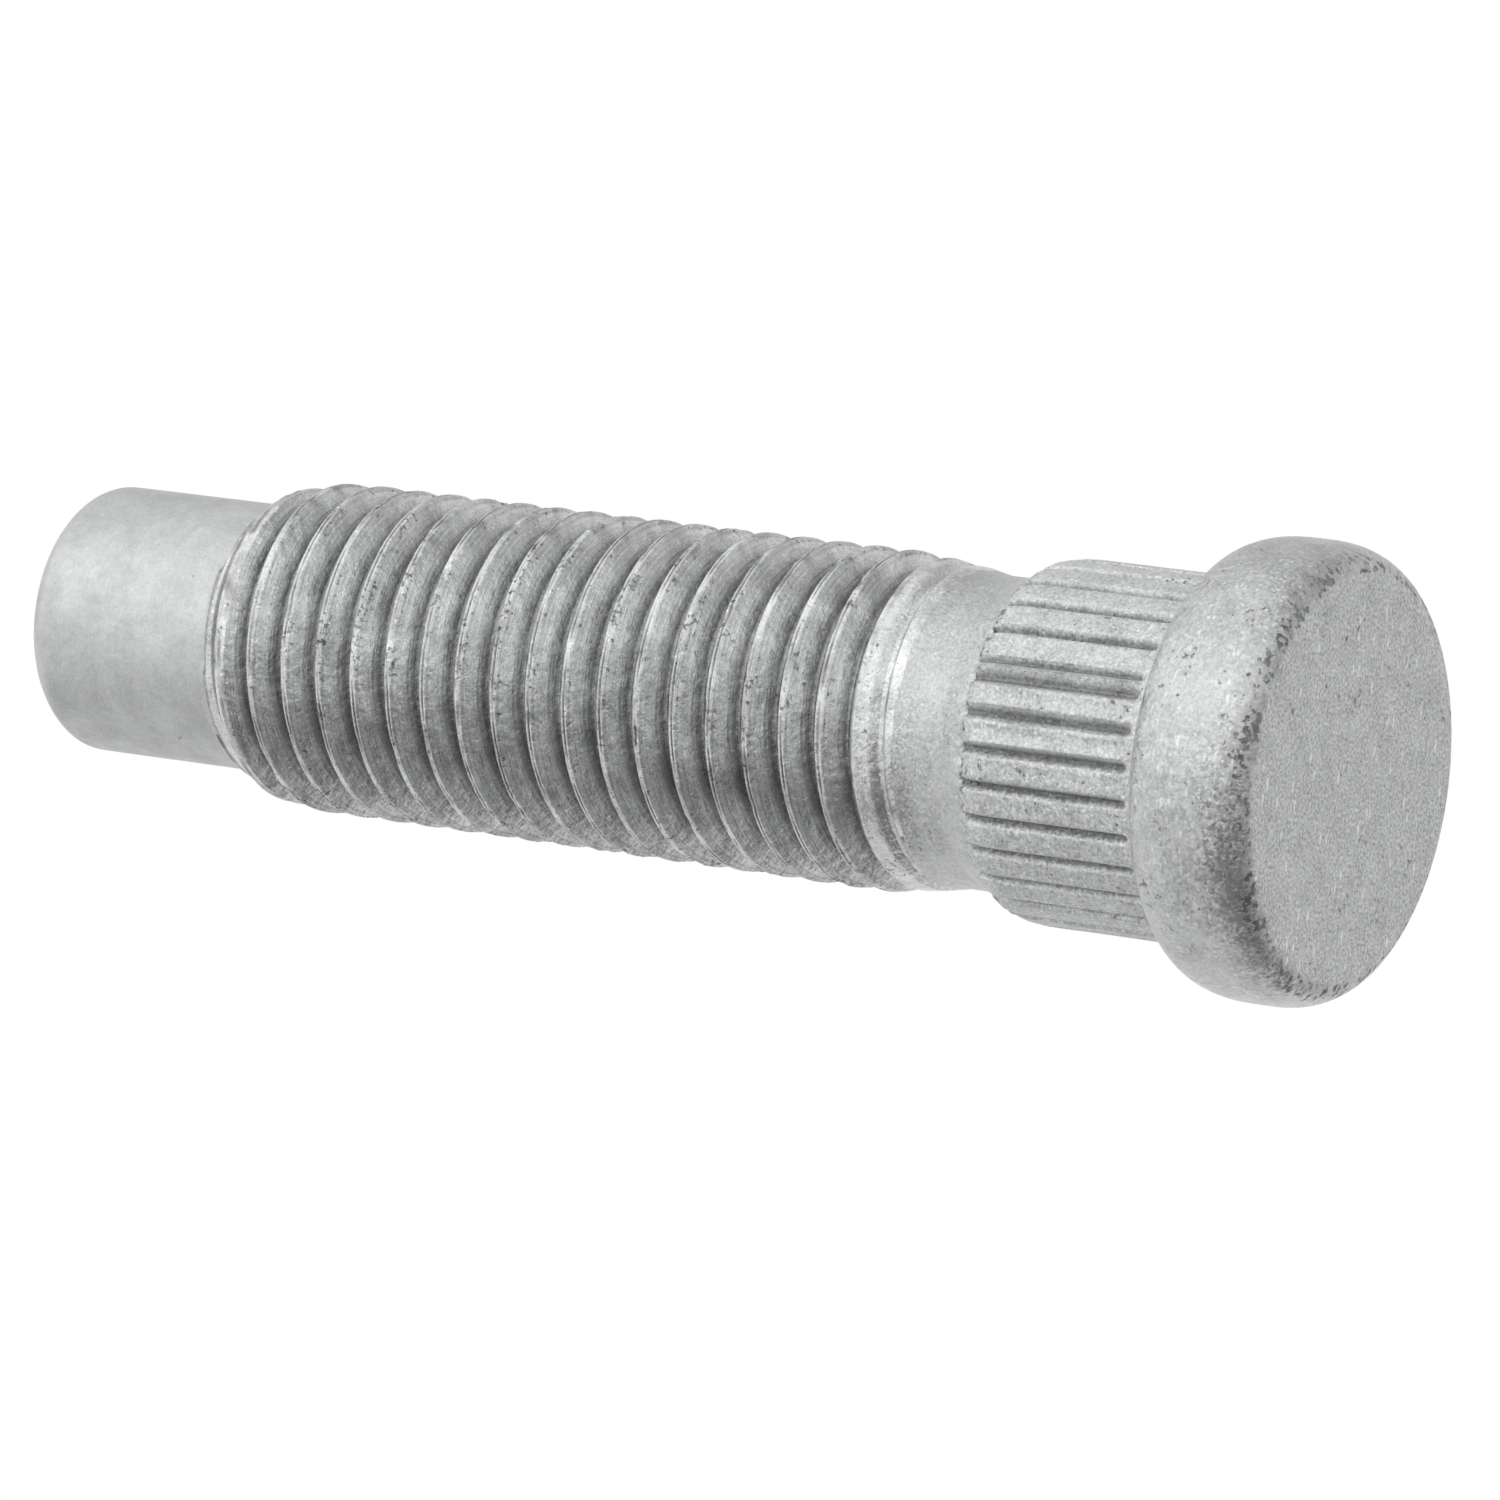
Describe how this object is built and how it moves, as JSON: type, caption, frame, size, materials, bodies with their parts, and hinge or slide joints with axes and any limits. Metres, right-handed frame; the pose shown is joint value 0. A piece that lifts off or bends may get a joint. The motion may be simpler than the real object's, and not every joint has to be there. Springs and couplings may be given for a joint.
{
  "type": "wheel stud",
  "caption": "Press-in wheel stud with a round head, straight splines under it, a plain neck, a right-hand rolled thread and a plain pilot nose.",
  "frame": {"origin": "centre of the head's flat outer face, which is also the plane that the stud stands on", "axes": "+Z along the stud's axis, from the head to the pilot nose; the thread's first shallow groove opens on the -X side"},
  "size_m": [0.016, 0.016, 0.0529],
  "materials": {
    "coated_steel": "satin"
  },
  "bodies": {
    "root": {"wheel_stud": "coated_steel"}
  },
  "joints": []
}
